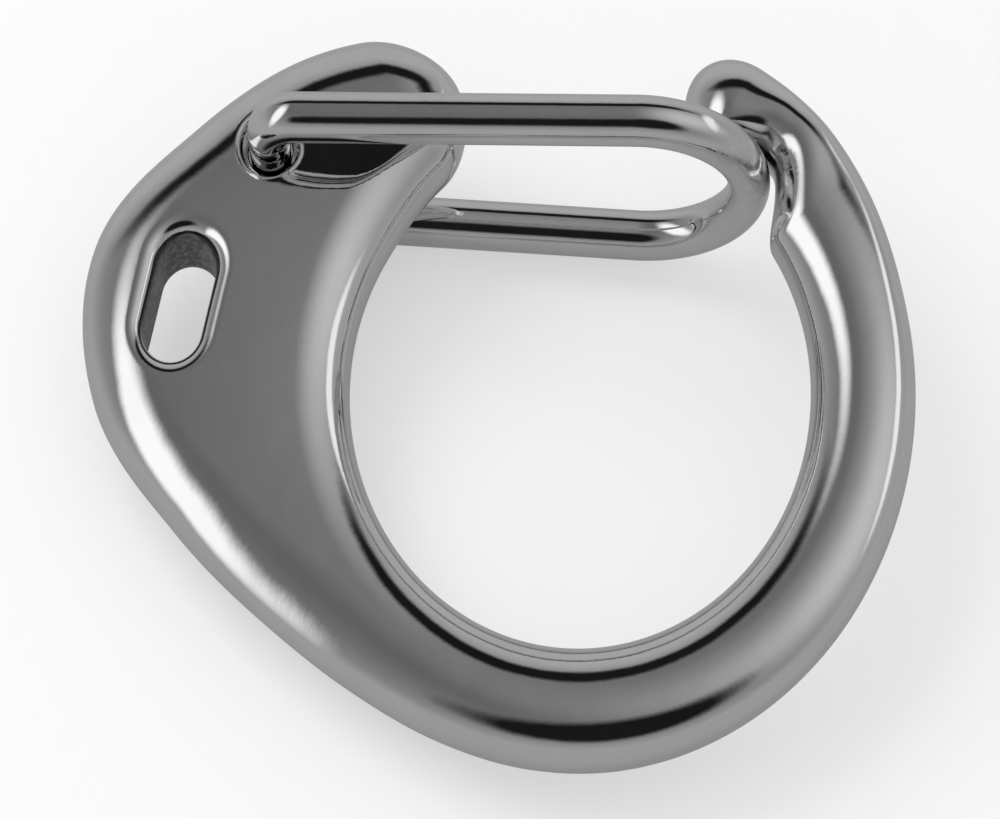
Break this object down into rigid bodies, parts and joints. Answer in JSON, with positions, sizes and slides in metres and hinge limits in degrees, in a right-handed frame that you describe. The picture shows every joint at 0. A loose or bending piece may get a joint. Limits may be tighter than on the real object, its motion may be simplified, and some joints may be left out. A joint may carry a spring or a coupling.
{
  "type": "snap shackle",
  "caption": "Cast C-shaped snap shackle with a round bow, a flat web with a lashing slot, and a sprung wire gate that opens inwards.",
  "frame": {"origin": "centre of the round bow opening, half way through the thickness", "axes": "+X from the lashing lug towards the nose, +Y towards the gate, +Z through the thickness, square to the plane of the hook"},
  "size_m": [0.0314, 0.0243, 0.0098],
  "materials": {
    "cast_chrome": "polished",
    "gate_wire": "polished"
  },
  "bodies": {
    "hook": {"hook_body": "cast_chrome"},
    "gate": {"wire_gate": "gate_wire"}
  },
  "joints": [
    {"name": "gate_hinge", "type": "hinge", "parent": "hook", "child": "gate", "pos_m": [-0.0119, 0.0076, 0], "axis": [0, 0, -1], "range_deg": [0, 40], "stiffness_Nm_per_rad": 0.03, "springref_deg": -3.44}
  ]
}
